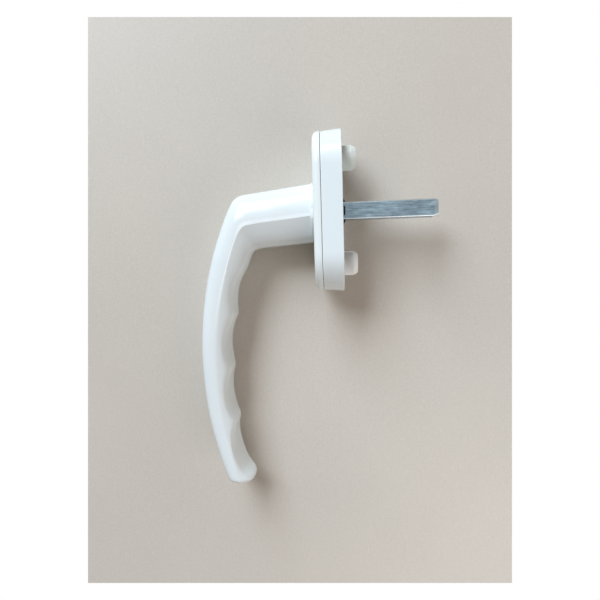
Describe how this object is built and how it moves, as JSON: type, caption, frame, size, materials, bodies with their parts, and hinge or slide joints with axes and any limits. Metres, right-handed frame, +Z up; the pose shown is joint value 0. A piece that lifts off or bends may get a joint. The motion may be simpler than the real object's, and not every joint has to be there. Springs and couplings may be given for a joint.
{
  "type": "sliding door handle",
  "caption": "Lever handle with a bowed, finger-grooved grip on a round-ended rosette; a square spindle turns the lock of a sliding door or sash.",
  "frame": {"origin": "centre of the mounting face, on the spindle axis", "axes": "+Y along the spindle into the sash, -Y towards the hand, +Z up, so that the grip hangs down from the spindle, and +X to the side"},
  "size_m": [0.0314, 0.1, 0.1479],
  "materials": {
    "lever_coat": "gloss",
    "cover_plastic": "gloss",
    "base_coat": "gloss",
    "bush_nylon": "satin",
    "cam_zinc": "as cast",
    "spring_steel": "satin",
    "washer_steel": "satin",
    "spindle_steel": "drawn, zinc plated",
    "clip_steel": "black oxide",
    "lug_nylon": "satin"
  },
  "bodies": {
    "base": {"base_plate": "base_coat", "bearing_bush": "bush_nylon", "thrust_washer": "washer_steel", "locating_lug_upper": "lug_nylon", "locating_lug_lower": "lug_nylon", "detent_spring_left": "spring_steel", "detent_spring_right": "spring_steel"},
    "lever": {"lever": "lever_coat", "spindle": "spindle_steel", "spindle_clip": "clip_steel", "index_cam": "cam_zinc"},
    "cover": {"cover": "cover_plastic"}
  },
  "joints": [
    {"name": "lever_turn", "type": "hinge", "parent": "base", "child": "lever", "pos_m": [0, 0, 0], "axis": [0, -1, 0], "continuous": true, "deforming": ["detent_spring_left", "detent_spring_right"]},
    {"name": "cover_swivel", "type": "hinge", "parent": "base", "child": "cover", "pos_m": [0, 0, 0], "axis": [0, -1, 0], "continuous": true}
  ]
}
